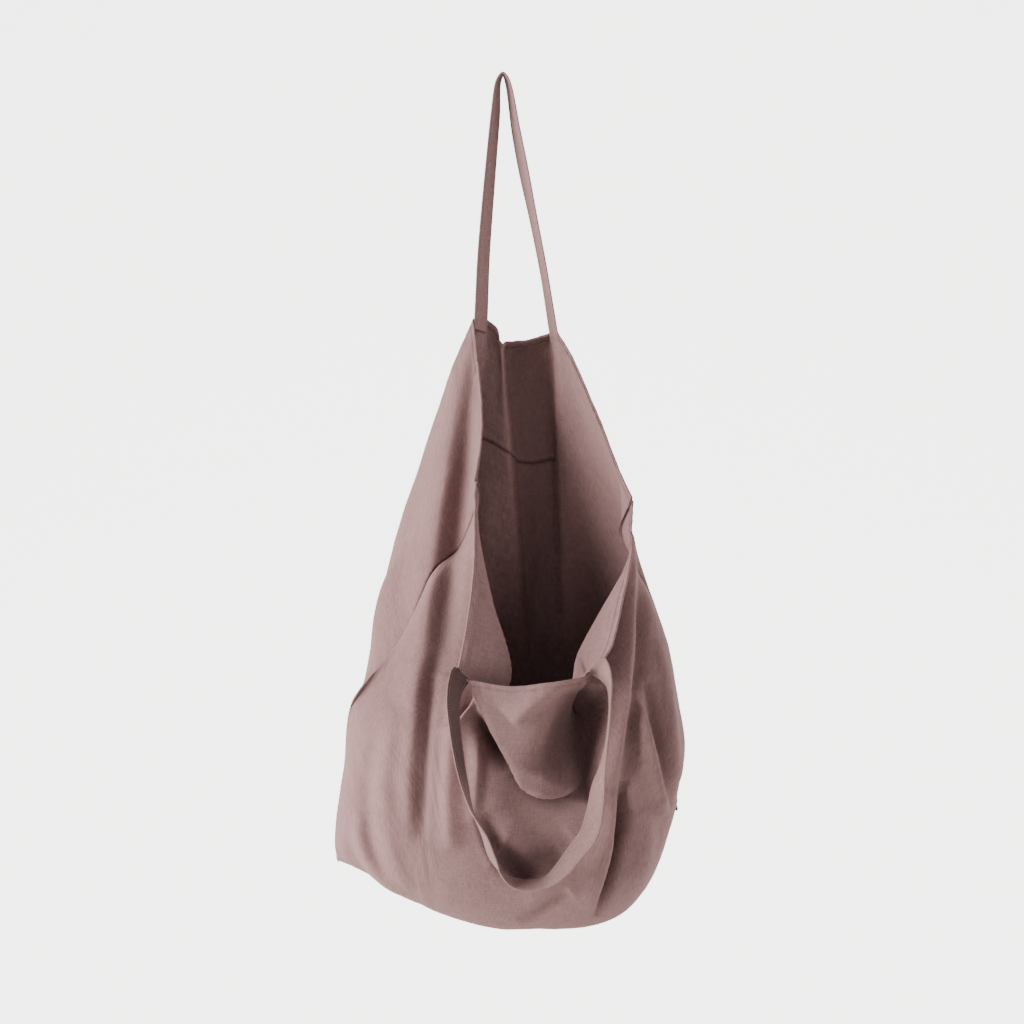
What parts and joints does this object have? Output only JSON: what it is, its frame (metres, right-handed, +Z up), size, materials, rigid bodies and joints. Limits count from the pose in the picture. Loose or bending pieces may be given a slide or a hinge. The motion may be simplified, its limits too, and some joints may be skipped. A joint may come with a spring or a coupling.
{
  "type": "linen tote bag",
  "caption": "Slouchy unlined linen tote hanging by its back strap, front edge dropped with turned-out hems and a loose front strap loop.",
  "frame": {"origin": "under the top bend of the back strap, where the bag hangs", "axes": "+Z up along the hanging bag, -Y towards its open front, +X to the right seen from the front"},
  "size_m": [0.3629, 0.2007, 0.8908],
  "materials": {
    "linen": "washed plain-weave linen, matt",
    "strap_linen": "folded and stitched linen tape, matt"
  },
  "bodies": {
    "root": {"front_panel": "linen", "upper_back": "linen", "lower_back": "linen", "back_strap": "strap_linen", "front_strap": "strap_linen"}
  },
  "joints": []
}
